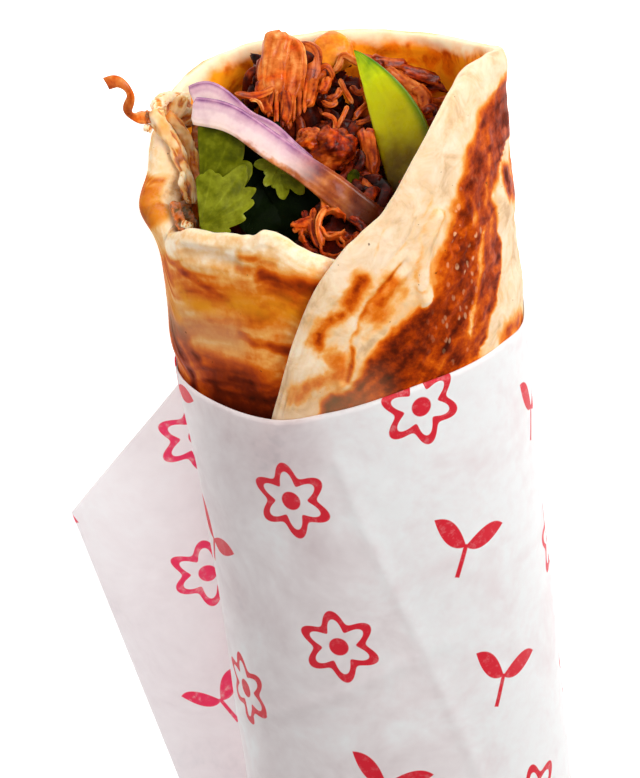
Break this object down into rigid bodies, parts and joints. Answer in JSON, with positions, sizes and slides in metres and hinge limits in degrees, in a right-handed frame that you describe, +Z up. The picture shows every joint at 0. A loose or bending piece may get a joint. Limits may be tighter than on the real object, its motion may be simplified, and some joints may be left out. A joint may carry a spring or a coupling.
{
  "type": "kati roll",
  "caption": "Flaky flatbread rolled round shredded chicken, red onion, coriander leaves and a lime wedge, in a printed white paper wrap with a loose tail, lying on its side.",
  "frame": {"origin": "middle of the footprint of the whole part, on the surface that it lies on", "axes": "+Y along the roll towards its open mouth, +Z up, away from the surface it lies on, +X towards the side away from the paper's loose tail"},
  "size_m": [0.0852, 0.1824, 0.0568],
  "materials": {
    "wrap_paper": "thin white greaseproof paper, faintly mottled, with red printed motifs",
    "flatbread": "flaky griddled flatbread, cream with golden, orange and dark brown toasting, slightly oily",
    "chicken": "shredded spiced chicken, red-brown and moist",
    "onion": "raw red onion, pinkish white with a purple edge, moist",
    "coriander": "fresh green coriander leaf, satin",
    "coriander_dark": "dark green leaf in shade, satin",
    "lime": "cut lime flesh, yellow-green, with a darker green rind, moist"
  },
  "bodies": {
    "root": {"paper_wrap": "wrap_paper", "bread": "flatbread", "chicken_filling": "chicken", "onion_strip_front": "onion", "onion_strip_back": "onion", "coriander_leaf_upper": "coriander", "coriander_leaf_lower": "coriander", "coriander_leaf_small": "coriander", "coriander_bed": "coriander_dark", "lime_wedge": "lime"}
  },
  "joints": []
}
